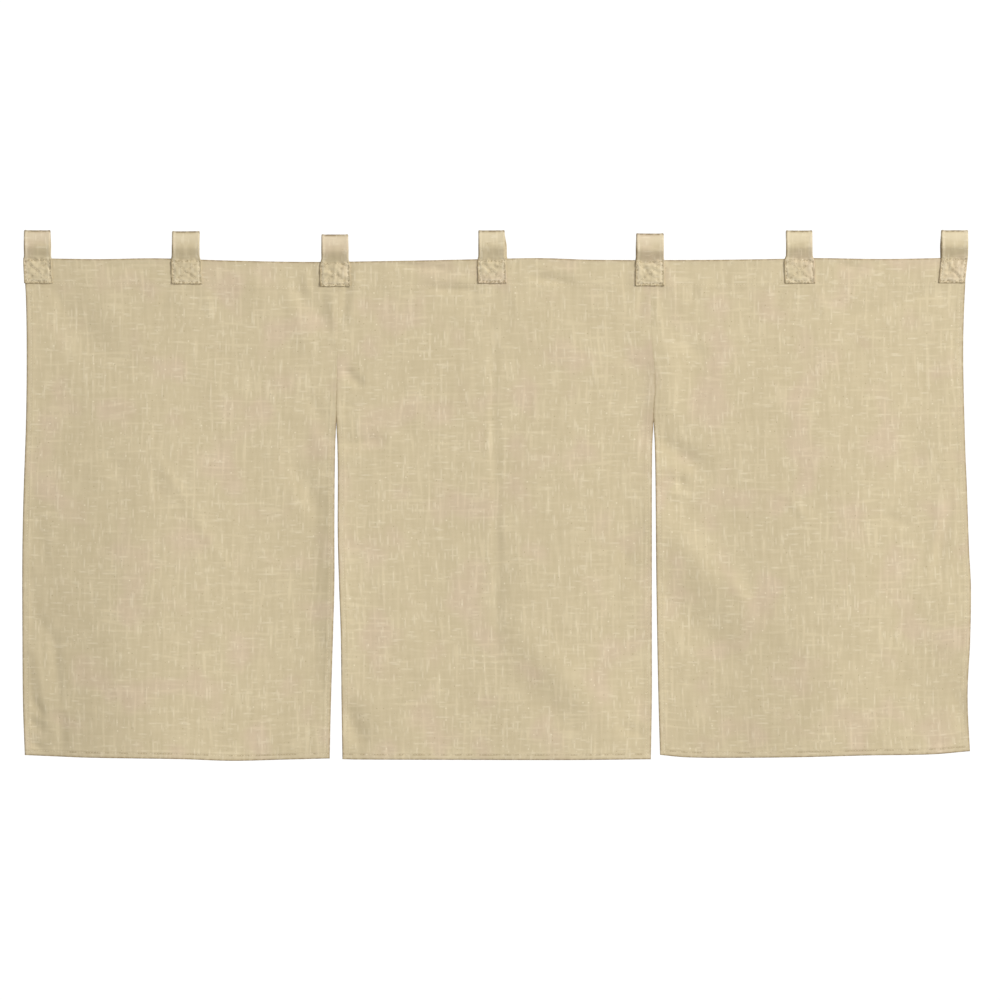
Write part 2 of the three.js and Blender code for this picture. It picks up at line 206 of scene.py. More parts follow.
SEAM_RIGHT = [(-27, 166.8), (-108, 167.8), (-163, 172.0), (-195, 170.2)]
SLIT_LEFT_A = [
    (-193, -172.6), (-254, -174.0), (-324, -174.4), (-380, -174.4), (-436, -175.9), (-510, -178.2),
    (-574, -179.6),
]
SLIT_LEFT_B = [
    (-193, -172.6), (-254, -171.2), (-324, -171.2), (-380, -169.8), (-436, -167.9), (-510, -167.1),
    (-574, -166.2),
]
SLIT_RIGHT_A = [
    (-195, 170.2), (-246, 168.8), (-350, 168.6), (-436, 168.6), (-505, 168.6), (-574, 167.4),
]
SLIT_RIGHT_B = [
    (-195, 170.2), (-246, 171.8), (-350, 172.8), (-436, 174.0), (-505, 175.4), (-574, 177.4),
]
HEM_OF_LEFT = [
    (-514, -565.8), (-478, -567.2), (-440, -568.5), (-340, -569.9), (-285, -571.8), (-225, -570.4),
    (-178, -569.2),
]
HEM_OF_MIDDLE = [(-167, -570.2), (-150, -570.6), (70, -571.0), (168, -570.2)]
HEM_OF_RIGHT = [
    (177, -565.6), (205, -568.2), (250, -568.8), (330, -567.8), (400, -565.9), (470, -564.8), (514, -561.2),
]

# Slow waves of the hanging cloth, with their height at its top and its hem: length, share and start
WAVES = [(392, 1.0, -60), (247, 0.55, 35), (631, 0.8, 210)]
WAVE_AT_TOP = 0.3
WAVE_AT_HEM = 4.4

# Soft folds, set closer to the photo than the solids' own: from x and z, to x and z, height and half width.
# A positive height is a ridge towards the viewer.
FOLDS = [
    (-490, -58, -424, -138, -2.0, 25),
    (-430, -142, -355, -298, 0.9, 26),
    (-303, -236, -266, -345, -0.5, 26),
    (-503, -438, -470, -540, 0.7, 17),
    (22, -330, 32, -440, 0.5, 22),
    (30, -440, 110, -520, 2.9, 19),
    (-6, -352, 4, -470, -0.4, 15),
    (12, -482, 84, -536, -1.5, 15),
    (184, -316, 270, -420, 3.5, 21),
    (166, -378, 238, -448, -1.8, 17),
    (170, -222, 218, -256, -2.6, 13),
    (487, -96, 490, -350, 1.2, 17),
]
FOLD_FADE = 46.0

# Edges that curl: panel, edge, highest and lowest z, height towards the viewer and half width
CURLS = [
    ("panel_left", "left", -290, -520, -1.4, 30),
    ("panel_left", "right", -200, -560, 4.3, 21),
    ("panel_middle", "left", -230, -560, 3.4, 18),
    ("panel_middle", "right", -215, -500, 3.6, 22),
    ("panel_right", "left", -225, -400, 2.6, 20),
    ("panel_right", "right", -330, -550, 8.0, 50),
]

# Bottom corners that lean out of the plane of the cloth: panel, x, z, height and reach
CORNERS = [
    ("panel_left", -511, -566, -5.6, 66),
    ("panel_left", -178, -568, 3.0, 46),
    ("panel_middle", -167, -568, -6.5, 44),
    ("panel_middle", 168, -570, 2.6, 50),
    ("panel_right", 177, -566, -3.0, 40),
    ("panel_right", 513, -562, 2.6, 60),
]

# Fine creases that the solids leave out: from x and z, to x and z, height, half width and fade at the ends
CREASES = [
    # The pressed fold down the middle of the middle panel, and the sag where it ends
    (-4, -90, -2, -250, -0.5, 5, 40),
    (-2, -200, 0, -330, -0.6, 5, 30),
    (0, -310, 2, -460, -0.8, 6, 24),
    (-9, -150, -6, -390, 0.3, 5, 40),
    # Left panel: the dark slope at its top, the thin ridge down its middle, and pulls near it
    (-484, -44, -424, -130, -0.9, 16, 24),
    (-366, -246, -334, -292, 0.8, 6, 14),
    (-334, -298, -264, -400, 0.6, 6, 18),
    (-420, -246, -404, -256, -0.9, 8, 8),
    (-372, -278, -356, -284, -0.9, 6, 8),
    (-276, -50, -238, -84, 1.0, 16, 16),
    (-216, -60, -172, -112, -1.3, 9, 14),
    (-228, -58, -200, -130, 0.9, 9, 16),
    # Left panel: beside the top of the slit
    (-218, -248, -188, -308, -1.9, 12, 14),
    (-200, -216, -178, -248, 0.8, 8, 10),
    (-194, -300, -192, -470, -1.0, 10, 30),
    (-204, -176, -190, -200, -1.0, 7, 10),
    # Left panel: the crumpled bottom corner
    (-502, -446, -490, -500, 1.0, 6, 12),
    (-490, -500, -482, -540, 0.7, 6, 12),
    (-478, -436, -472, -506, -1.3, 6, 14),
    (-500, -506, -491, -522, -1.5, 4.5, 5),
    (-505, -529, -491, -537, -1.5, 4.5, 5),
    (-503, -553, -490, -559, -1.3, 4.5, 5),
    (-470, -520, -468, -560, -0.9, 6, 8),
    (-500, -414, -478, -440, -0.8, 7, 8),
    (-476, -516, -430, -520, 0.6, 4, 10),
    (-417, -498, -388, -500, 0.5, 4, 8),
    (-492, -314, -490, -356, -0.9, 8, 14),
    # Middle panel: along its seams, and above its bottom corner
    (-164, -150, -146, -166, -2.4, 6, 6),
    (-166, -232, -124, -224, -3.0, 8, 12),
    (-126, -216, -92, -204, -1.6, 12, 12),
    (-164, -190, -130, -186, -0.7, 6, 8),
    (136, -132, 148, -146, -1.0, 7, 6),
    (166, -100, 168, -212, 0.5, 12, 18),
    (136, -338, 142, -360, -1.0, 7, 8),
    (-163, -514, -146, -552, -3.6, 12, 10),
    (132, -536, 160, -542, -1.8, 7, 8),
    (-84, -430, -70, -520, 0.6, 14, 20),
    # Right panel: the bright band beside the seam, the ring of a pucker, and a wedge at its right
    (186, -52, 206, -84, 0.8, 12, 12),
    (184, -118, 186, -202, 3.6, 18, 18),
    (206, -124, 226, -134, -1.2, 7, 8),
    (176, -224, 222, -252, -1.0, 8, 8),
    (250, -372, 270, -400, 1.6, 9, 12),
    (188, -262, 210, -258, 1.6, 5, 5),
    (186, -282, 208, -285, 1.2, 5, 5),
    (197, -268, 203, -274, -1.8, 5, 4),
    (318, -288, 340, -314, 0.5, 5, 10),
    (310, -292, 330, -318, -0.4, 5, 10),
    (418, -306, 448, -318, -0.9, 6, 8),
    (491, -288, 477, -372, -1.2, 6, 14),
    (484, -290, 468, -360, 0.7, 5, 14),
    (452, -216, 456, -262, -1.0, 12, 14),
    (493, -398, 494, -404, -1.6, 5, 5),
    (476, -65, 380, -92, -1.5, 8, 18),
    (478, -76, 420, -106, 0.8, 8, 14),
    (220, -58, 226, -66, 1.3, 8, 6),
    (500, -500, 506, -540, -2.0, 9, 12),
    (476, -556, 500, -546, -0.9, 4, 6),
    # Small wrinkles under the top edge
    (-104, -37, -54, -40, -1.5, 4, 10),
    (-71, -52, -28, -53, 1.2, 4.5, 12),
    (-71, -62, -28, -63, -1.5, 4.5, 10),
    (40, -50, 80, -55, -1.8, 5, 12),
    (44, -40, 90, -44, 0.7, 4, 10),
    (370, -36, 392, -40, -1.0, 4, 8),
    (-420, -38, -374, -40, -0.6, 4, 10),
    # Pulls beside and below the feet of the tabs
    (-199, -36, -197, -64, -1.1, 3.5, 7),
    (-206, -46, -202, -80, 0.6, 4, 8),
    (-158, -36, -163, -66, -1.2, 3.5, 8),
    (-150, -40, -155, -96, 0.8, 5, 12),
    (-163, -66, -166, -98, -0.9, 4, 10),
    (-178, -66, -174, -120, 0.9, 5, 14),
    (-186, -64, -192, -104, -0.8, 5, 12),
    (142, -36, 140, -64, -0.9, 5, 8),
    (186, -36, 190, -64, 0.5, 4, 8),
    (172, -66, 176, -104, 0.8, 5, 12),
    (160, -64, 154, -96, -0.9, 5, 12),
    (-352, -60, -364, -92, -0.8, 6, 12),
    (-318, -60, -306, -88, 0.7, 6, 12),
    (-21, -60, -30, -84, -0.7, 6, 10),
    (14, -58, 24, -84, 0.6, 6, 10),
    (310, -60, 300, -90, -0.8, 6, 12),
    (345, -60, 356, -92, 0.7, 6, 12),
    (-478, -60, -466, -86, -0.8, 6, 12),
]

# The tabs. Loop and foot are widths, lean is how far the foot's end is to the right, and back is how far
# the back leg is.
Tab = namedtuple("Tab", "name middle crown foot_end loop foot lean back")
TABS = [
    Tab("tab_1", -495.7, 0.0, -55.8, 28.6, 30.8, 1.2, 0.4),
    Tab("tab_2", -335.1, -1.1, -56.5, 29.9, 33.0, 1.2, -0.6),
    Tab("tab_3", -174.2, -4.5, -59.2, 29.0, 33.0, 0.4, 0.3),
    Tab("tab_4", -4.9, -0.2, -55.8, 28.5, 31.3, 1.0, 2.4),
    Tab("tab_5", 166.3, -3.5, -58.6, 29.8, 31.7, -0.2, -0.4),
    Tab("tab_6", 327.4, -0.3, -55.8, 28.6, 33.2, 1.1, 0.5),
    Tab("tab_7", 495.4, 0.0, -55.4, 29.1, 28.9, -3.0, -0.8),
]

StripPath = namedtuple("StripPath", "z offset side out_y out_z along edge on_foot")

# A free side is one table. A seamed side is its seam, its slit and the sign towards the panel's middle.
SIDES = ("left", "right")
PANELS = {
    "panel_left": {"left": OUTER_LEFT, "right": (SEAM_LEFT, SLIT_LEFT_A, -1), "hem": HEM_OF_LEFT},
    "panel_middle": {
        "left": (SEAM_LEFT, SLIT_LEFT_B, 1),
        "right": (SEAM_RIGHT, SLIT_RIGHT_A, -1),
        "hem": HEM_OF_MIDDLE,
    },
    "panel_right": {"left": (SEAM_RIGHT, SLIT_RIGHT_B, 1), "right": OUTER_RIGHT, "hem": HEM_OF_RIGHT},
}


# Curves and soft steps

def read_curve(rows, place):
    """The value on a smooth curve through (place, value) rows, held level past its ends."""
    table = np.array(sorted(rows), float)
    places, values = table[:, 0], table[:, 1]
    last = len(places) - 1
    before = np.maximum(np.arange(last + 1) - 1, 0)
    after = np.minimum(np.arange(last + 1) + 1, last)
    slopes = (values[after] - values[before]) / (places[after] - places[before])
    at = np.clip(place, places[0], places[-1])
    first = np.clip(np.searchsorted(places, at) - 1, 0, last - 1)
    span = places[first + 1] - places[first]
    t = (at - places[first]) / span
    start = (1 + 2 * t) * (1 - t) ** 2 * values[first] + t * (1 - t) ** 2 * span * slopes[first]
    end = t * t * (3 - 2 * t) * values[first + 1] + t * t * (t - 1) * span * slopes[first + 1]
    return start + end


def rise(place, low, high):
    """0 below low and 1 past high, with a soft rise between them."""
    t = np.clip((place - low) / (high - low), 0, 1)
    return t * t * (3 - 2 * t)


def bell(distance, reach):
    return np.exp(-((distance / reach) ** 2))


def smooth_noise(x, z, size_x, size_z, seed):
    """Even noise between about -1 and 1, with features of the given sizes."""
    points = zip(np.ravel(x) / size_x, np.ravel(z) / size_z)
    values = [noise.noise(Vector((across, up, seed))) for across, up in points]
    return np.reshape(values, np.shape(x))


def uneven(rows, x, z, seed=0):
    """The sum of noises from rows of height, size across, size up and own seed."""
    return sum(height * smooth_noise(x, z, across, up, seed + own) for height, across, up, own in rows)


def top_edge(x):
    return read_curve(TOP_EDGE, x)


def is_seamed(panel, side):
    """Whether a side is sewn to the next panel."""
    return not isinstance(PANELS[panel][side], list)


def seam_gap(z):
    """How far an edge stands back from the seam line: pressed past it above, free of it in the slit."""
    pressed = SEAM_PRESS + (SLIT_PRESS - SEAM_PRESS) * rise(-z, -SEAM_END, -SLIT_TOUCH)
    return -pressed + (pressed + SLIT_HALF_GAP) * rise(-z, -SLIT_TOUCH, -SLIT_FREE)


def side_edge(panel, side, z):
    """Where a panel's left or right edge lies at a height."""
    if not is_seamed(panel, side):
        return read_curve(PANELS[panel][side], z)
    seam, slit, sign = PANELS[panel][side]
    return np.where(z > slit[0][0], read_curve(seam, z), read_curve(slit, z)) + sign * seam_gap(z)


# The cloth's shape

def wave_bulge(x, z):
    size = WAVE_AT_TOP + (WAVE_AT_HEM - WAVE_AT_TOP) * rise(-z, EDGE_DROP, EDGE_DROP + PANEL_DROP)
    return size * sum(share * np.sin(2 * math.pi * (x - start) / length) for length, share, start in WAVES)


def fold_bulge(fold, fade, x, z):
    """A ridge or trough that dies away past its reach and over the fade at its two ends."""
    from_x, from_z, to_x, to_z, height, reach = fold
    length = math.hypot(to_x - from_x, to_z - from_z)
    along_x, along_z = (to_x - from_x) / length, (to_z - from_z) / length
    along = (x - from_x) * along_x + (z - from_z) * along_z
    across = (x - from_x) * along_z - (z - from_z) * along_x
    return height * rise(along, -fade, fade) * rise(length - along, -fade, fade) * bell(across, reach)


def curl_bulge(curl, x, z):
    panel, side, high, low, height, reach = curl
    middle = (high + low) / 2
    ends = rise(-z, -high, -middle) * rise(z, low, middle)
    return height * ends * bell(x - side_edge(panel, side, z), reach)


def shared_bulge(x, z):
    """How far the whole cloth stands towards the viewer. The band that the tabs are sewn to stays calm."""
    below_band = rise(top_edge(x) - z, TOP_HEM, TOP_HEM + FOLD_FADE)
    folds = sum(fold_bulge(fold, FOLD_FADE, x, z) for fold in FOLDS)
    creases = sum(fold_bulge(crease[:6], crease[6], x, z) for crease in CREASES)
    return wave_bulge(x, z) + below_band * folds + creases + uneven(HANDLED, x, z)


def panel_bulge(panel, x, z):
    bulge = shared_bulge(x, z)
    for curl in CURLS:
        if curl[0] == panel:
            bulge = bulge + curl_bulge(curl, x, z)
    for name, corner_x, corner_z, height, reach in CORNERS:
        if name == panel:
            bulge = bulge + height * bell(np.hypot(x - corner_x, z - corner_z), reach)
    return bulge


def free_share(panel, across, z):
    """1 along a panel's free sides, and 0 where its nearer side is sewn to the next panel."""
    left_seamed, right_seamed = [is_seamed(panel, side) for side in SIDES]
    near_seam = np.where(across > 0.5, right_seamed, left_seamed)
    return np.where(near_seam, rise(-z, -SEAM_FREE, -SLIT_TOUCH), 1.0)


def hem_distances(across, up):
    """Distances to the nearer side, the bottom and the top, at shares across and up a panel."""
    return np.minimum(across, 1 - across) * PANEL_WIDTH, up * PANEL_DROP, (1 - up) * PANEL_DROP


def in_hem(edges, free=1.0):
    """1 where a hem is turned behind the cloth."""
    side, bottom, top = [1 - rise(to_edge, hem, hem + HEM_SLOPE) for to_edge, hem in zip(edges, HEMS)]
    return np.maximum(free * side, np.maximum(bottom, top))


def stitch_groove(edges, free):
    """1 along the bottom's stitch line, and fainter along those of the sides and the top."""
    side, bottom, top = [bell(to_edge - line, GROOVE_REACH) for to_edge, line in zip(edges, STITCH_LINES)]
    return np.maximum(np.maximum(FAINT_GROOVE * free * side, bottom), FAINT_GROOVE * top)


def roll(distance, height, crest, reach):
    return height * bell(distance - crest, reach)


def sewn_bulge(x, z, edges, free):
    """The roll of the folded edges, the grooves of the hem stitches and the puckers along them."""
    to_side, to_end = edges[0], np.minimum(*edges[1:])
    rolled = np.maximum(free * roll(to_side, *PANEL_ROLL), roll(to_end, *PANEL_ROLL))
    bulge = rolled + HEM_PROUD * in_hem(edges, free) - GROOVE_DEPTH * stitch_groove(edges, free)
    for to_edge, line, (height, reach, across, up, seed) in zip(edges, STITCH_LINES, PUCKERS):
        bulge = bulge + height * bell(to_edge - line, reach) * smooth_noise(x, z, across, up, seed)
    return bulge


# Painted shade and highlights for the material

def shade_line(distance, share, full, end):
    """Painted shade on an edge, which fades away between two distances."""
    return share * (1 - rise(distance, full, end))


def highlight_band(distance, begin, full, fade, end):
    """A painted highlight beside an edge, which fades in and out again."""
    return rise(distance, begin, full) * (1 - rise(distance, fade, end))


def panel_marks(edges, free):
    """Painted shade on the edges, a painted highlight inside them, and painted shade in the stitch lines."""
    to_side, to_end = edges[0], np.minimum(*edges[1:])
    # Painted shade on the edges; a sewn seam keeps only a little of it
    side_shade = (SEAM_SHADE + (1 - SEAM_SHADE) * free) * shade_line(to_side, *SIDE_SHADE_LINE)
    shade = np.maximum(free * shade_line(to_side, *EDGE_SHADE), shade_line(to_end, *EDGE_SHADE))
    dark = np.maximum(np.maximum(side_shade, shade_line(to_end, *END_SHADE_LINE)), shade)
    # Painted highlight inside the edges
    light = np.maximum(free * highlight_band(to_side, *HIGHLIGHT_BAND), highlight_band(to_end, *HIGHLIGHT_BAND))
    return np.dstack([dark, PANEL_HIGHLIGHT * light, stitch_groove(edges, free)])


def tab_marks(to_left, to_right, to_end, to_crown, groove):
    """Painted shadow down the left side, painted shade on the other edges and the crown, painted
    highlights beside them and below the crown, and painted shade in the stitch lines.
    """
    # Painted shadow down the left side, faint painted shade on the right, painted shade on the end and the
    # crown
    sides = np.maximum(shade_line(to_left, *TAB_LEFT_SHADOW), shade_line(to_right, *TAB_RIGHT_SHADE))
    ends = np.maximum(shade_line(to_end, *TAB_END_SHADOW), shade_line(to_crown, *CROWN_SHADE_LINE))
    to_edge = np.minimum(np.minimum(to_left, to_right), to_end)
    # Painted highlights beside the edges and below the crown
    light = np.maximum(highlight_band(to_edge, *HIGHLIGHT_BAND), CROWN_HIGHLIGHT * highlight_band(to_crown, *CROWN_HIGHLIGHT_BAND))
    sewn = np.maximum(groove, shade_line(to_end, *TAB_END_SEWN_SHADE))
    return np.dstack([np.maximum(sides, ends), light, sewn])


# Meshes

def add_object(name, data):
    made = bpy.data.objects.new(name, data)
    bpy.context.scene.collection.objects.link(made)
    return made


def make_object(name, points, faces, material, flat=None, marks=None):
    """A smooth mesh object from points in millimetres. Flat gives each point its place on the cut cloth, and
    marks its share of painted shade on an edge, painted highlight beside it and painted shade in a stitch
    line."""
    mesh = bpy.data.meshes.new(name)
    mesh.from_pydata([tuple(point) for point in np.asarray(points) * MM], [], faces)
    mesh.materials.append(material)
    mesh.polygons.foreach_set("use_smooth", [True] * len(mesh.polygons))
    for attribute, values in (("flat", flat), ("marks", marks)):
        if values is not None:
            layer = mesh.attributes.new(attribute, "FLOAT_VECTOR", "POINT")
            layer.data.foreach_set("vector", np.ascontiguousarray(values, np.float32).ravel())
    mesh.update()
    return add_object(name, mesh)


def make_sheet(name, front, back, across, up, marks, material):
    """A closed sheet from a front and a back grid of points, which share their rim. Across and up are places
    on the cut cloth. Seen from the front, rows go up and columns go to the right."""
    rows, columns = front.shape[:2]
    front_index = np.arange(rows * columns).reshape(rows, columns)
    inner = np.zeros((rows, columns), bool)
    inner[1:-1, 1:-1] = True
    back_index = front_index.copy()
    back_index[inner] = rows * columns + np.arange(inner.sum())
    faces = []
    for index, turned in ((front_index, False), (back_index, True)):
        corners = [index[:-1, :-1], index[:-1, 1:], index[1:, 1:], index[1:, :-1]]
        quads = np.stack([corner.ravel() for corner in corners], 1)
        faces += (quads[:, ::-1] if turned else quads).tolist()
    points = np.concatenate([front.reshape(-1, 3), back[inner]])
    flat = np.dstack([across * MM, up * MM, np.zeros(across.shape)])
    flat, marks = [np.concatenate([values.reshape(-1, 3), values[inner]]) for values in (flat, marks)]
    return make_object(name, points, faces, material, flat, marks)


def rim_round(distance):
    """0 on a rim and 1 past its round edge."""
    return np.sqrt(1 - (1 - np.clip(distance / EDGE_RADIUS, 0, 1)) ** 2)


def hem_places(hem, stitch):
    """Distances from an edge that draw its round fold, its stitch groove and the step of its hem."""
    places = list(EDGE_PLACES)
    groove = [stitch - GROOVE_REACH, stitch, stitch + GROOVE_REACH]
    step = [hem - PLACE_GAP, hem + HEM_SLOPE / 2, hem + HEM_SLOPE + PLACE_GAP]
    while groove[0] - places[-1] > CELL_UP:
        places.append(places[-1] + HEM_CELL)
    return places + [place for place in groove + step if place > places[-1] + PLACE_GAP]


def grid_shares(side, first, last, cell):
    """Shares from 0 to 1 along a side, from the places at its two ends and even cells between them."""
    start, end = first[-1], side - last[-1]
    cells = round((end - start) / cell)
    middle = [start + (end - start) * number / cells for number in range(1, cells)]
    return np.array(first + middle + [side - place for place in reversed(last)]) / side


def panel_grid(panel, across, up):
    """X and Z of the points at shares across and up a panel."""
    level = -EDGE_DROP - PANEL_DROP * (1 - up)
    rough_x = side_edge(panel, "left", level) * (1 - across) + side_edge(panel, "right", level) * across
    z = read_curve(PANELS[panel]["hem"], rough_x) * (1 - up) + top_edge(rough_x) * up
    x = side_edge(panel, "left", z) * (1 - across) + side_edge(panel, "right", z) * across
    return x, z


def panel_surface(panel, across, up):
    """X, Y and Z of the cloth's middle surface at shares across and up a panel."""
    x, z = panel_grid(panel, across, up)
    free = free_share(panel, across, z)
    y = -(panel_bulge(panel, x, z) + sewn_bulge(x, z, hem_distances(across, up), free))
    return x, y, z


def make_panel(panel, material):
    side_places = hem_places(SIDE_HEM, SIDE_STITCH)
    across_shares = grid_shares(PANEL_WIDTH, side_places, side_places, CELL_ACROSS)
    bottom_places = hem_places(BOTTOM_HEM, BOTTOM_STITCH)
    up_shares = grid_shares(PANEL_DROP, bottom_places, hem_places(TOP_HEM, TOP_STITCH), CELL_UP)
    across, up = np.meshgrid(across_shares, up_shares)
    x, y, z = panel_surface(panel, across, up)
    edges = hem_distances(across, up)
    roundness = rim_round(np.minimum.reduce(edges))
    behind = LAYER + (HEM_BACK - LAYER + HEM_PROUD) * in_hem(edges)
    front = np.dstack([x, y + RIM_MIDDLE - (RIM_MIDDLE + LAYER) * roundness, z])
    back = np.dstack([x, y + RIM_MIDDLE + (behind - RIM_MIDDLE) * roundness, z])
    marks = panel_marks(edges, free_share(panel, across, z))
    return make_sheet(panel, front, back, across * PANEL_WIDTH, up * PANEL_DROP, marks, material)


# Tab loops

def tab_edge(tab):
    """The height of the cloth's top edge at a tab."""
    return float(top_edge(tab.middle))


def tab_seed(tab, first, step):
    return first + step * int(tab.name[-1])


def foot_steps(tab, edge, side, offset):
    """Steps up a foot, as height, offset from the cloth, and leg."""
    rest = edge - tab.foot_end - END_ROWS[-1]
    heights = [tab.foot_end + place for place in END_ROWS]
    heights += [tab.foot_end + END_ROWS[-1] + rest * row / FOOT_ROWS for row in range(1, FOOT_ROWS)]
    return [(z, side * offset, side) for z in heights]


def leg_steps(edge, widest, side, offset, bulge):
    """Steps up a leg, from the foot's offset to the loop's full bulge."""
    steps = []
    for row in range(LEG_ROWS):
        share = row / LEG_ROWS
        swell = LEG_CURVE * (1 - math.cos(math.pi * share)) / 2 + (1 - LEG_CURVE) * share
        steps.append((edge + (widest - edge) * share, side * (offset + (bulge - offset) * swell), side))
    return steps


def crown_steps(widest, side, bulge):
    """Steps round half the crown, up to its top."""
    angles = [math.pi / 2 * row / CROWN_ROWS for row in range(CROWN_ROWS)]
    return [(widest + CROWN_HEIGHT * math.sin(turn), side * bulge * math.cos(turn), side) for turn in angles]


def strip_steps(tab, edge):
    """Steps from the front foot's end over the crown to the back foot's end."""
    crown_line = tab.crown + STRIP / 2
    widest = crown_line - CROWN_HEIGHT
    halves = []
    for side, offset, bulge in ((-1, FOOT_MIDDLE, LOOP_FRONT), (1, FOOT_MIDDLE + BACK_FOOT_SHIFT, LOOP_BACK)):
        steps = foot_steps(tab, edge, side, offset)
        steps += leg_steps(edge, widest, side, offset, bulge)
        halves.append(steps + crown_steps(widest, side, bulge))
    return np.array(halves[0] + [(crown_line, 0.0, 0)] + halves[1][::-1])


def strip_path(tab):
    """Rows along a strip, with the outward direction and the length so far at each."""
    edge = tab_edge(tab)
    steps = strip_steps(tab, edge)
    z, offset, side = steps.T
    forward = np.gradient(steps[:, :2], axis=0)
    forward /= np.linalg.norm(forward, axis=1)[:, None]
    on_foot = z <= edge
    out_y = np.where(on_foot, side, -forward[:, 0])
    out_z = np.where(on_foot, 0.0, forward[:, 1])
    lengths = np.linalg.norm(np.diff(steps[:, :2], axis=0), axis=1)
    return StripPath(z, offset, side, out_y, out_z, np.concatenate([[0], np.cumsum(lengths)]), edge, on_foot)


def strip_span(tab, z, side, edge):
    """The strip's middle and half width at heights of its legs."""
    on_foot = rise(edge - z, -FOOT_SPREAD, FOOT_SPREAD)
    half = (tab.loop + (tab.foot - tab.loop) * on_foot) / 2
    down_foot = np.clip((edge - z) / (edge - tab.foot_end), 0, 1)
    set_over = np.where(side > 0, tab.back * rise(tab.crown - z, 0, CROWN_HEIGHT), 0)
    return tab.middle + tab.lean * down_foot + set_over, half


def box_groove(from_edge, from_end, half, foot_height):
    """1 on the box and less on the cross that are stitched into a foot."""
    top = foot_height - BOX_TOP
    within_height = (from_end > BOX_INSET - BOX_GROOVE) & (from_end < top + BOX_GROOVE)
    within_width = from_edge > BOX_INSET - BOX_GROOVE
    sides = np.where(within_height, bell(from_edge - BOX_INSET, BOX_GROOVE), 0)
    to_ends = np.minimum(abs(from_end - BOX_INSET), abs(from_end - top))
    ends = np.where(within_width, bell(to_ends, BOX_GROOVE), 0)
    across = (half - from_edge) / (half - BOX_INSET)
    up = abs(2 * (from_end - BOX_INSET) / (top - BOX_INSET) - 1)
    inside = (from_edge > BOX_INSET) & (from_end > BOX_INSET) & (from_end < top)
    cross = np.where(inside, CROSS_SHARE * bell((up - across) * CROSS_SCALE, BOX_GROOVE), 0)
    return np.maximum(np.maximum(sides, ends), cross)


def strip_sides(half):
    """Distances from a strip's left side across it, a row for each half width."""
    near = np.array(STRIP_ACROSS)
    share = np.arange(1, STRIP_CELLS + 1) / STRIP_CELLS
    inner = near[-1] + (half[:, None] - near[-1]) * share[None, :]
    left = np.concatenate([np.broadcast_to(near, (len(half), len(near))), inner], 1)
    return np.concatenate([left, (2 * half[:, None] - left)[:, -2::-1]], 1)


def foot_outer(tab, leg, x, z):
    """How far a foot's outer face stands from the cloth, and the stitch groove in it."""
    edge = tab_edge(tab)
    centre, half = strip_span(tab, z, leg, edge)
    from_edge = np.clip(half - abs(x - centre), 0, None)
    from_end = z - tab.foot_end
    groove = box_groove(from_edge, from_end, half, edge - tab.foot_end)
    seed = tab_seed(tab, *FOOT_SEEDS) + (BACK_FOOT_SEED if leg > 0 else 0)
    lumps = LUMPS * uneven(FOOT_NOISE, x, z, seed)
    pull = PULL + uneven(PULL_NOISE, x, z, seed)
    outer = FOOT_OUTER + lumps - BOX_DEPTH * groove * pull - roll(from_end, *FOOT_DIP)
    return np.maximum(outer, FOOT_INNER + FOOT_LEAST), groove


def strip_faces(tab, path, x, z, along, from_edge):
    """How far the outer and inner faces stand from a strip's middle, and the stitch grooves in it."""
    rolled = roll(from_edge, *STRIP_ROLL)
    outer = STRIP_OUTER + uneven(STRIP_NOISE, x, along, tab_seed(tab, *STRIP_SEEDS)) + rolled
    inner = np.full(x.shape, STRIP_INNER)
    groove = np.zeros(x.shape)
    for leg in (-1, 1):
        rows = path.on_foot & (path.side == leg)
        face, lines = foot_outer(tab, leg, x[rows], z[rows])
        outer[rows] = face - FOOT_MIDDLE
        inner[rows] = FOOT_INNER - FOOT_MIDDLE
        groove[rows] = lines
    ease = rise(z, path.edge, path.edge + FOOT_EASE)
    eased = outer * ease + (FOOT_OUTER - FOOT_MIDDLE + rolled * ROLL_AT_FOOT) * (1 - ease)
    return np.where(path.on_foot[:, None], outer, eased), inner, groove


def make_tab(tab, material):
    path = strip_path(tab)
    centre, half = strip_span(tab, path.z, path.side, path.edge)
    from_left = strip_sides(half)
    from_right = 2 * half[:, None] - from_left
    from_edge = np.minimum(from_left, from_right)
    x = centre[:, None] - half[:, None] + from_left
    z = np.broadcast_to(path.z[:, None], x.shape)
    along = np.broadcast_to(path.along[:, None], x.shape)
    outer, inner, groove = strip_faces(tab, path, x, z, along, from_edge)
    end_round = np.where(path.on_foot, rim_round(np.abs(path.z - tab.foot_end)), 1.0)
    roundness = np.minimum(rim_round(from_edge), end_round[:, None])
    base = path.offset[:, None] - shared_bulge(x, np.minimum(z, path.edge))
    out_y, out_z = path.out_y[:, None], path.out_z[:, None]
    front, back = [
        np.dstack([x, base + out_y * face * roundness, z + out_z * face * roundness])
        for face in (outer, inner)
    ]
    width = tab.foot * (from_left / (2 * half[:, None]))
    to_crown = np.abs(along - path.along[len(path.along) // 2])
    to_end = np.minimum(along, path.along[-1] - along)
    marks = tab_marks(from_left, from_right, to_end, to_crown, groove)
    return make_sheet(tab.name, front, back, width, along, marks, material)


# Sewing threads

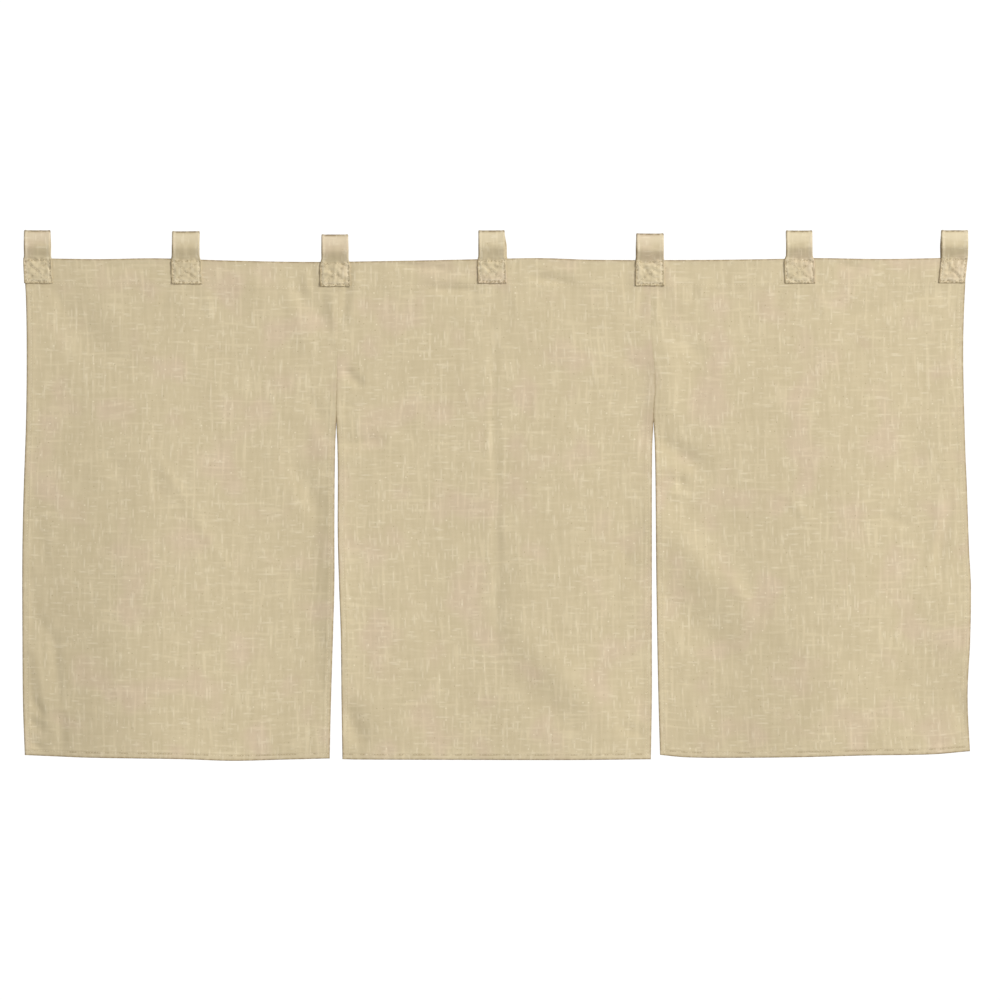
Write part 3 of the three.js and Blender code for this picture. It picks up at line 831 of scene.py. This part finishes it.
class Stitches:
    """Stitches gathered into one mesh. Each is a short thread that arches, and dips into the cloth at its
    two ends."""

    # Rings of points round a stitch: share along it, lift and size
    rings = [(0.0, -0.3, 0.35), (0.14, 0.02, 0.9), (0.5, 0.12, 1.0), (0.86, 0.02, 0.9), (1.0, -0.3, 0.35)]

    def __init__(self, seed):
        self.points = []
        self.faces = []
        self.random = random.Random(seed)

    def add(self, start, end, out):
        along = end - start
        side = np.cross(along, out)
        side = side / np.linalg.norm(side)
        base = len(self.points)
        turns = [2 * math.pi * number / THREAD_SIDES for number in range(THREAD_SIDES)]
        for share, lift, size in self.rings:
            centre = start + along * share + out * lift
            for turn in turns:
                outward = side * math.cos(turn) + out * math.sin(turn)
                self.points.append(centre + outward * THREAD_RADIUS * size)
        for ring in range(len(self.rings) - 1):
            for number in range(THREAD_SIDES):
                a = base + ring * THREAD_SIDES + number
                b = base + ring * THREAD_SIDES + (number + 1) % THREAD_SIDES
                self.faces.append((a, a + THREAD_SIDES, b + THREAD_SIDES, b))
        last = base + (len(self.rings) - 1) * THREAD_SIDES
        self.faces.append(tuple(range(base, base + THREAD_SIDES)))
        self.faces.append(tuple(last + number for number in reversed(range(THREAD_SIDES))))

    def run(self, points_at, length, out):
        """A row of stitches on a line. Points_at gives points for an array of distances along it."""
        count = max(int(length / (STITCH_LENGTH + STITCH_GAP)), 1)
        begins = (np.arange(count) + 0.5) * length / count - STITCH_LENGTH / 2
        begins = begins + [self.random.uniform(-STITCH_SHIFT, STITCH_SHIFT) for stitch in range(count)]
        for start, end in zip(points_at(begins), points_at(begins + STITCH_LENGTH)):
            self.add(start, end, np.array(out, float))

    def make(self, name, material):
        return make_object("stitches_" + name, self.points, self.faces, material)


def panel_line(panel, start, end, lift):
    """The points on a line between two (across, up) places of a panel, for distances along it."""
    width, height = (end[0] - start[0]) * PANEL_WIDTH, (end[1] - start[1]) * PANEL_DROP
    length = math.hypot(width, height)

    def points_at(distances):
        share = distances / length
        across = start[0] + (end[0] - start[0]) * share
        up = start[1] + (end[1] - start[1]) * share
        x, y, z = panel_surface(panel, across, up)
        return np.stack([x, y + lift, z], 1)

    return points_at, length


def make_panel_stitches(panel, material):
    stitches = Stitches(len(panel))
    side = SIDE_STITCH / PANEL_WIDTH
    bottom = BOTTOM_STITCH / PANEL_DROP
    top = 1 - TOP_STITCH / PANEL_DROP
    tops = [SEAM_STITCH_UP if is_seamed(panel, edge) else 1 - LINE_END for edge in SIDES]
    lines = [((side, LINE_END), (side, tops[0])), ((1 - side, LINE_END), (1 - side, tops[1]))]
    lines += [((ROW_END, up), (1 - ROW_END, up)) for up in (bottom, top)]
    for start, end in lines:
        for lift, out in ((THREAD_SUNK - LAYER, (0, -1, 0)), (HEM_BACK + HEM_PROUD, (0, 1, 0))):
            points_at, length = panel_line(panel, start, end, lift)
            stitches.run(points_at, length, out)
    return stitches.make(panel, material)


def make_seam_stitches(panel, seed, material):
    """The stitches on the back that join a panel's right edge to the next panel, down to the slit."""
    stitches = Stitches(seed)
    heights = np.arange(-EDGE_DROP - SEAM_STITCH_START, SLIT_TOUCH, -SEAM_STITCH_PITCH)
    seam = side_edge(panel, "right", heights)
    backs = -shared_bulge(seam, heights) + HEM_BACK + HEM_PROUD - THREAD_SUNK
    for x, y, z in zip(seam, backs, heights):
        tilt = stitches.random.uniform(*SEAM_STITCH_TILT)
        start = np.array([x - SEAM_STITCH_REACH, y, z - tilt])
        end = np.array([x + SEAM_STITCH_REACH, y, z + tilt])
        stitches.add(start, end, np.array([0.0, 1.0, 0.0]))
    return stitches.make("seam_" + panel, material)


def foot_line(tab, leg, start, end):
    """The points on a line between two (from middle, from end) places of a foot."""
    length = math.hypot(end[0] - start[0], end[1] - start[1])

    def points_at(distances):
        share = distances / length
        z = tab.foot_end + start[1] + (end[1] - start[1]) * share
        centre = strip_span(tab, z, leg, tab_edge(tab))[0]
        x = centre + start[0] + (end[0] - start[0]) * share
        face = foot_outer(tab, leg, x, z)[0]
        stand = face + (BACK_FOOT_SHIFT if leg > 0 else 0) + THREAD_LIFT
        return np.stack([x, leg * stand - shared_bulge(x, z), z], 1)

    return points_at, length


def make_tab_stitches(tab, material):
    """A box and its cross on each foot."""
    stitches = Stitches(int(tab.name[-1]))
    right = tab.foot / 2 - BOX_INSET
    low, high = BOX_INSET, tab_edge(tab) - tab.foot_end - BOX_TOP
    corners = [(-right, low), (right, low), (right, high), (-right, high)]
    lines = [(corners[n], corners[(n + 1) % 4]) for n in range(4)]
    lines += [(corners[0], corners[2]), (corners[1], corners[3])]
    for leg in (-1, 1):
        for start, end in lines:
            points_at, length = foot_line(tab, leg, start, end)
            stitches.run(points_at, length, (0, leg, 0))
    return stitches.make(tab.name, material)


# Material nodes

def plug(tree, node, values):
    """Sets a node's inputs to numbers and colours, or links them to other sockets."""
    for name, value in values.items():
        if isinstance(value, (int, float)):
            node.inputs[name].default_value = value
        elif isinstance(value, tuple):
            node.inputs[name].default_value = (*value, 1)
        else:
            tree.links.new(value, node.inputs[name])


def add_node(tree, kind, values, **settings):
    made = tree.nodes.new("ShaderNode" + kind)
    for setting, value in settings.items():
        setattr(made, setting, value)
    plug(tree, made, values)
    return made


def new_material(name):
    material = bpy.data.materials.new(name)
    material.use_nodes = True
    tree = material.node_tree
    tree.nodes.clear()
    shader = add_node(tree, "BsdfPrincipled", {})
    add_node(tree, "OutputMaterial", {"Surface": shader.outputs["BSDF"]})
    return material, tree, shader


def calc(tree, operation, *values):
    return add_node(tree, "Math", dict(enumerate(values)), operation=operation).outputs[0]


def vector(tree, x, y):
    return add_node(tree, "CombineXYZ", {0: x, 1: y}).outputs[0]


def noise_at(tree, place, scale=1.0, detail=0.0):
    values = {"Vector": place, "Scale": scale, "Detail": detail}
    return add_node(tree, "TexNoise", values, noise_dimensions="2D").outputs["Fac"]


def ramp(tree, value, low, high, to_low=0.0, to_high=1.0):
    """A soft step between two values."""
    values = {"Value": value, "From Min": low, "From Max": high, "To Min": to_low, "To Max": to_high}
    return add_node(tree, "MapRange", values, interpolation_type="SMOOTHSTEP").outputs["Result"]


def mix(tree, share, first, second):
    """A mix of two colours, which are a Mix node's inputs 6 and 7 and its output 2."""
    return add_node(tree, "Mix", {0: share, 6: first, 7: second}, data_type="RGBA").outputs[2]


def bump(tree, height, strength, distance):
    values = {"Height": height, "Strength": strength, "Distance": distance}
    return add_node(tree, "Bump", values).outputs["Normal"]


def read_attribute(tree, name):
    """The three parts of a mesh's own attribute."""
    read = add_node(tree, "Attribute", {}, attribute_name=name)
    return add_node(tree, "SeparateXYZ", {0: read.outputs["Vector"]}).outputs


def screen_colour(red, green, blue):
    """A colour of a screen, from 0 to 255, as light."""
    shares = [value / 255 for value in (red, green, blue)]
    return tuple(share / 12.92 if share < 0.04045 else ((share + 0.055) / 1.055) ** 2.4 for share in shares)


# Slub cloth. Each pair is the greener and the pinker shade of one depth.
DEEP = (screen_colour(185, 169, 134), screen_colour(188, 168, 138))
LIGHT = (screen_colour(227, 212, 178), screen_colour(229, 211, 182))
SLUB = screen_colour(238, 226, 199)
NUB = screen_colour(246, 236, 212)
SPECK = screen_colour(158, 138, 104)
# Colours of painted shade: in the stitch lines, on the panels' edges, and darker on the tabs' edges
SHADE = screen_colour(150, 130, 94)
RIM_SHADE = screen_colour(144, 122, 88)
DEEP_RIM_SHADE = screen_colour(122, 102, 70)
THREAD_DEEP = screen_colour(206, 191, 158)
THREAD_LIGHT = screen_colour(236, 224, 196)
FLOOR_DEEP = screen_colour(240, 239, 236)
FLOOR_LIGHT = screen_colour(248, 247, 245)

# Pitch of the yarns and of the weave, and the length of a slub, in metres
YARN = 0.00165
WEAVE_PITCH = 0.0007
SLUB_RUN = 0.017

# Thicker and thinner yarns in the tone: warp, which runs down, or weft, width, length, seed and weight
TONE = 0.42
SEED_ALONG = 0.37
TONE_STREAKS = [
    ("warp", 0.0046, 0.036, 3.1, 0.17),
    ("weft", 0.0044, 0.030, 7.4, 0.11),
    ("warp", 0.0110, 0.080, 11.9, 0.05),
    ("weft", 0.0120, 0.060, 17.3, 0.04),
]
# Clouds in the tone: scale and weight
TONE_CLOUDS = [(90.0, 0.05), (14.0, 0.05)]

# Light lines of single yarns, with where they begin and are full, the share of the weft's, and their weight
WARP_LINES = ("warp", 0.0039, 0.038, 23.7)
WARP_LINE_STEP = (0.56, 0.82)
WEFT_LINES = ("weft", 0.0038, 0.034, 31.3)
WEFT_LINE_STEP = (0.57, 0.82)
WEFT_SHARE = 0.85
LINE_WEIGHT = 0.20

# Slubs: seed, and where they begin and are full. The wander bends their lines, and the stride keeps the
# noise of one yarn apart from the next.
WARP_SLUBS = (1.3, 0.60, 0.80)
WEFT_SLUBS = (8.9, 0.62, 0.82)
SLUB_WANDER = 24.0
SLUB_STRIDE = 3.717
SLUB_SHARE = 0.30

# Fields of noise: scale, detail, where the step begins and ends, and its first and last value
CROWDING = (24.0, 1.0, 0.36, 0.62, 0.4, 1.0)
BLOTCHES = (20.0, 1.5, 0.50, 0.78)
NUBS = (320.0, 0.0, 0.84, 0.95, 0.0, 0.45)
SPECKS = (410.0, 0.0, 0.15, 0.08, 0.0, 0.45)
# Patches that break up the painted shade of the edges, and the dashes of painted shade in the stitch lines
RIM_SHADE_PATCHES = (170.0, 1.0, 0.34, 0.60, 0.45, 0.85)
SEWN_DETAIL = 1.0
SEWN_STEP = (0.44, 0.60)

# The share of the painted highlight beside the edges, and the cloth's bumps and roughness
HIGHLIGHT_SHARE = 0.28
WEAVE_HEIGHT = 0.05
TONE_HEIGHT = 1.4
PLAIN_ROUGH = 0.94
SLUB_ROUGH = 0.82

# How far the pattern moves across and along from piece to piece, and how the painted shade of a panel's and a
# tab's stitch lines looks: how often it fades in and out, and how dark it gets
SHIFT_ALONG = 0.61
PANEL_SHIFT = 0.731
TAB_SHIFT = 0.223
FIRST_TAB_SHIFT = 2.319
PANEL_SEWN = (95.0, 0.5)
TAB_SEWN = (430.0, 0.7)


def streaks(tree, x, z, yarns, width, length, seed):
    """Soft streaks of thicker and thinner yarn, about 0.5 on the whole."""
    across, along = (x, z) if yarns == "warp" else (z, x)
    side = calc(tree, "MULTIPLY_ADD", across, 1 / width, seed)
    run = calc(tree, "MULTIPLY_ADD", along, 1 / length, seed * SEED_ALONG)
    return noise_at(tree, vector(tree, side, run))


def slubs(tree, across, along, seed, low, high):
    """0 on plain yarn, and 1 where a yarn thickens into a slub."""
    wander = noise_at(tree, vector(tree, calc(tree, "ADD", across, seed), along), SLUB_WANDER, 1.0)
    yarn = calc(tree, "FLOOR", calc(tree, "MULTIPLY_ADD", across, 1 / YARN, wander))
    run = calc(tree, "MULTIPLY_ADD", along, 1 / SLUB_RUN, seed)
    field = noise_at(tree, vector(tree, calc(tree, "MULTIPLY", yarn, SLUB_STRIDE), run), 1.0, 1.0)
    return ramp(tree, field, low, high)


def weave(tree, x, z):
    """The over and under of plain weave."""
    turn = math.pi / WEAVE_PITCH
    warp = calc(tree, "SINE", calc(tree, "MULTIPLY", x, turn))
    weft = calc(tree, "SINE", calc(tree, "MULTIPLY", z, turn))
    return calc(tree, "MULTIPLY", warp, weft)


def patches(tree, place, scale, detail, *steps):
    return ramp(tree, noise_at(tree, place, scale, detail), *steps)


def cloth_tone(tree, x, z, place):
    """How light the cloth is between its deep and its light shade."""
    fields = [(streaks(tree, x, z, *row), weight) for *row, weight in TONE_STREAKS]
    fields += [(noise_at(tree, place, scale, 1.0), weight) for scale, weight in TONE_CLOUDS]
    tone = TONE
    for field, weight in fields:
        tone = calc(tree, "ADD", tone, calc(tree, "MULTIPLY", calc(tree, "SUBTRACT", field, 0.5), weight))
    warp_lines = ramp(tree, streaks(tree, x, z, *WARP_LINES), *WARP_LINE_STEP)
    weft_lines = ramp(tree, streaks(tree, x, z, *WEFT_LINES), *WEFT_LINE_STEP)
    lines = calc(tree, "MAXIMUM", warp_lines, calc(tree, "MULTIPLY", weft_lines, WEFT_SHARE))
    crowded = calc(tree, "MULTIPLY", lines, patches(tree, place, *CROWDING))
    return calc(tree, "MULTIPLY_ADD", crowded, LINE_WEIGHT, tone)


def cloth_colour(tree, place, tone, thick):
    """The colours of plain cloth: its two shades, its slubs, and small nubs and specks."""
    blotch = patches(tree, place, *BLOTCHES)
    colour = mix(tree, tone, mix(tree, blotch, *DEEP), mix(tree, blotch, *LIGHT))
    colour = mix(tree, calc(tree, "MULTIPLY", thick, SLUB_SHARE), colour, SLUB)
    colour = mix(tree, patches(tree, place, *NUBS), colour, NUB)
    return mix(tree, patches(tree, place, *SPECKS), colour, SPECK)


def marked_colour(tree, place, colour, rim, dash, sewn_dark):
    """The colour with the piece's painted marks: painted shade on the edges, a painted highlight beside them,
    and painted shade in stitch lines that fades in and out.
    """
    dark, light, sewn = read_attribute(tree, "marks")
    # Painted shade on the edges, broken into patches
    colour = mix(tree, calc(tree, "MULTIPLY", dark, patches(tree, place, *RIM_SHADE_PATCHES)), colour, rim)
    # Painted highlight beside the edges, in the slub colour
    colour = mix(tree, calc(tree, "MULTIPLY", light, HIGHLIGHT_SHARE), colour, SLUB)
    # Painted shade in the stitch lines, in dashes
    dashes = patches(tree, place, dash, SEWN_DETAIL, *SEWN_STEP, 0.0, sewn_dark)
    sunk_shade = calc(tree, "MULTIPLY", ramp(tree, sewn, 0.25, 1.0), dashes)
    return mix(tree, sunk_shade, colour, SHADE)


def cloth_material(name, shift, rim, dash, sewn_dark):
    """Slub cloth in plain weave. Shift moves the pattern, rim is the colour of the painted shade on its
    folded edges, dash is how often the painted shade of its stitch lines fades in and out, and sewn_dark is
    how dark it gets."""
    material, tree, shader = new_material(name)
    flat_x, flat_z = read_attribute(tree, "flat")[:2]
    x = calc(tree, "ADD", flat_x, shift)
    z = calc(tree, "ADD", flat_z, shift * SHIFT_ALONG)
    place = vector(tree, x, z)
    tone = cloth_tone(tree, x, z, place)
    thick = calc(tree, "MAXIMUM", slubs(tree, x, z, *WARP_SLUBS), slubs(tree, z, x, *WEFT_SLUBS))
    plain = cloth_colour(tree, place, tone, thick)
    colour = marked_colour(tree, place, plain, rim, dash, sewn_dark)
    soft = calc(tree, "MULTIPLY", tone, TONE_HEIGHT)
    fine = calc(tree, "MULTIPLY_ADD", weave(tree, x, z), WEAVE_HEIGHT, soft)
    plug(tree, shader, {
        "Base Color": colour,
        "Normal": bump(tree, calc(tree, "ADD", fine, thick), strength=0.3, distance=0.00025),
        "Roughness": ramp(tree, thick, 0.0, 1.0, PLAIN_ROUGH, SLUB_ROUGH),
        "Sheen Weight": 0.1,
        "Sheen Roughness": 0.6,
        "Specular IOR Level": 0.25,
    })
    return material


def thread_material():
    """Cotton sewing thread, in the colour of the cloth."""
    material, tree, shader = new_material("sewing_thread")
    place = add_node(tree, "TexCoord", {}).outputs["Object"]
    fibres = add_node(tree, "TexNoise", {"Vector": place, "Scale": 1800.0}).outputs["Fac"]
    plug(tree, shader, {
        "Base Color": mix(tree, ramp(tree, fibres, 0.35, 0.65), THREAD_DEEP, THREAD_LIGHT),
        "Normal": bump(tree, fibres, strength=0.4, distance=0.00008),
        "Roughness": 0.75,
        "Sheen Weight": 0.1,
    })
    return material


# The curtain

def dress(piece):
    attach(piece, "root")
    return piece


def add_curtain():
    thread = thread_material()
    sewing = {}
    panels = {}
    for number, panel in enumerate(PANELS):
        cloth = cloth_material("cloth_" + panel, PANEL_SHIFT * number, RIM_SHADE, *PANEL_SEWN)
        panels[panel] = dress(make_panel(panel, cloth))
        sewing[panel] = [dress(make_panel_stitches(panel, thread))]
        if is_seamed(panel, "right"):
            sewing[panel].append(dress(make_seam_stitches(panel, SEAM_SEED + number, thread)))
    tabs = {}
    for number, tab in enumerate(TABS):
        shift = FIRST_TAB_SHIFT + TAB_SHIFT * number
        cloth = cloth_material("cloth_" + tab.name, shift, DEEP_RIM_SHADE, *TAB_SEWN)
        tabs[tab.name] = dress(make_tab(tab, cloth))
        sewing[tab.name] = [dress(make_tab_stitches(tab, thread))]
    for name, made in {**panels, **tabs}.items():
        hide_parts(name)


# Stage, light and camera. Places are in metres.

FLOOR_Z = -2.0
FLOOR_RADIUS = 5.2
FLOOR_SIDES = 96
FLOOR_CLEAR = (FLOOR_RADIUS * 0.35, FLOOR_RADIUS * 0.98)


def floor_material():
    """Pale paint that turns clear towards the floor's rim."""
    material, tree, shader = new_material("floor_paint")
    place = add_node(tree, "TexCoord", {}).outputs["Object"]
    colour = mix(tree, noise_at(tree, place, 2.0, 2.0), FLOOR_DEEP, FLOOR_LIGHT)
    plug(tree, shader, {"Base Color": colour, "Roughness": 0.9})
    x, y = add_node(tree, "SeparateXYZ", {0: place}).outputs[:2]
    from_middle = add_node(tree, "VectorMath", {0: vector(tree, x, y)}, operation="LENGTH")
    clear = ramp(tree, from_middle.outputs["Value"], *FLOOR_CLEAR)
    see_through = add_node(tree, "BsdfTransparent", {}).outputs["BSDF"]
    blend = add_node(tree, "MixShader", {0: clear, 1: shader.outputs["BSDF"], 2: see_through})
    output = next(node for node in tree.nodes if node.type == "OUTPUT_MATERIAL")
    plug(tree, output, {"Surface": blend.outputs[0]})
    return material


def add_floor():
    """A plain pale floor, a door's height below the loops."""
    turns = [2 * math.pi * number / FLOOR_SIDES for number in range(FLOOR_SIDES)]
    ring = [(FLOOR_RADIUS * math.cos(turn), FLOOR_RADIUS * math.sin(turn), FLOOR_Z) for turn in turns]
    mesh = bpy.data.meshes.new("floor")
    mesh.from_pydata(ring, [], [tuple(range(FLOOR_SIDES))])
    mesh.materials.append(floor_material())
    floor = add_object("floor", mesh)


AMBIENT = 0.44
BACKGROUND = 1.05


def add_world():
    """White all round for the eye, and a dimmer even light for the cloth."""
    world = bpy.data.worlds.new("studio")
    world.use_nodes = True
    tree = world.node_tree
    background = next(node for node in tree.nodes if node.type == "BACKGROUND")
    seen = add_node(tree, "LightPath", {}).outputs["Is Camera Ray"]
    strength = ramp(tree, seen, 0.0, 1.0, AMBIENT, BACKGROUND)
    plug(tree, background, {"Color": (1, 1, 1), "Strength": strength})
    bpy.context.scene.world = world


CAMERA_LENS = 400.0
CAMERA_SENSOR = 36.0
VIEW_WIDTH = 1.0805
VIEW_MIDDLE = (0.0043, 0.0, -0.2900)


def add_camera():
    """Face on, as the photograph, which takes in VIEW_WIDTH at the cloth."""
    data = bpy.data.cameras.new("camera")
    data.lens = CAMERA_LENS
    data.sensor_width = CAMERA_SENSOR
    camera = add_object("camera", data)
    middle_x, middle_y, middle_z = VIEW_MIDDLE
    camera.location = (middle_x, middle_y - VIEW_WIDTH * CAMERA_LENS / CAMERA_SENSOR, middle_z)
    camera.rotation_euler = (math.pi / 2, 0, 0)
    bpy.context.scene.camera = camera


LAMP_AIM = (0.0, 0.0, -0.28)


def add_lamp(name, kind, place, power, **settings):
    data = bpy.data.lights.new(name, kind)
    data.energy = power
    for setting, value in settings.items():
        setattr(data, setting, value)
    lamp = add_object(name, data)
    lamp.location = place
    lamp.rotation_euler = (Vector(LAMP_AIM) - Vector(place)).to_track_quat("-Z", "Y").to_euler()


def add_lights():
    add_lamp("key", "SUN", (2.2, -2.4, 1.7), 1.5, angle=math.radians(14))
    add_lamp("window", "AREA", (1.5, -1.5, 1.5), 26.0, shape="DISK", size=1.2)
    add_lamp("back", "SUN", (-1.4, 2.4, 1.6), 1.2, angle=math.radians(30))


def set_view():
    view = bpy.context.scene.view_settings
    view.view_transform = "Standard"
    view.look = "None"
    view.exposure = 0.0
    view.gamma = 1.0


add_camera()
add_curtain()
add_floor()
add_world()
add_lights()
set_view()
